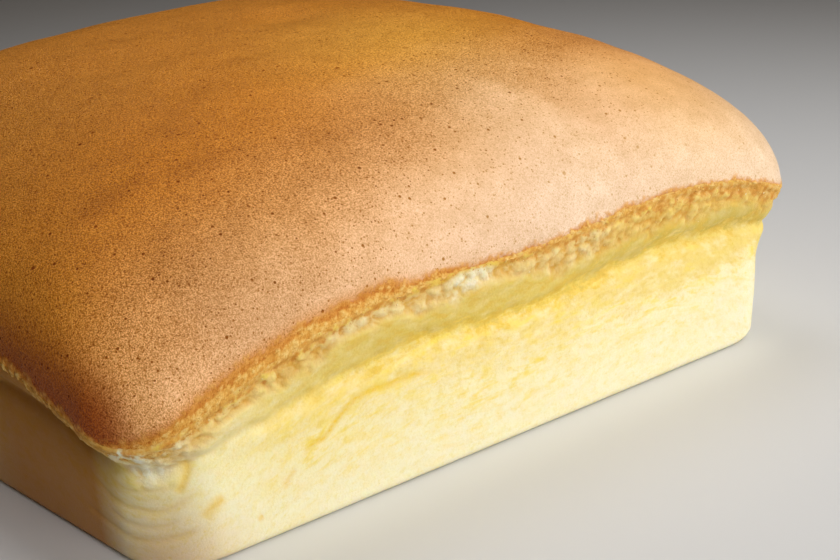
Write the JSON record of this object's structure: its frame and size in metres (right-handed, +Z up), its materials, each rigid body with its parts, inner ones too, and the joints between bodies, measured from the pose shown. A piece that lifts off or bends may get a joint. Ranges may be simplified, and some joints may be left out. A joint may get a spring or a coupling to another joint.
{
  "type": "castella sponge cake",
  "caption": "Whole domed castella sponge cake with a browned crust overhanging pale, soft, creased sides.",
  "frame": {"origin": "centre of the bounding box, on the surface that the cake stands on", "axes": "+Z up through the crown, +X and +Y along the sides of the square base"},
  "size_m": [0.2182, 0.2024, 0.0892],
  "materials": {
    "sponge": "soft sponge crumb under a browned, satin crust"
  },
  "bodies": {
    "root": {"castella_cake": "sponge"}
  },
  "joints": []
}
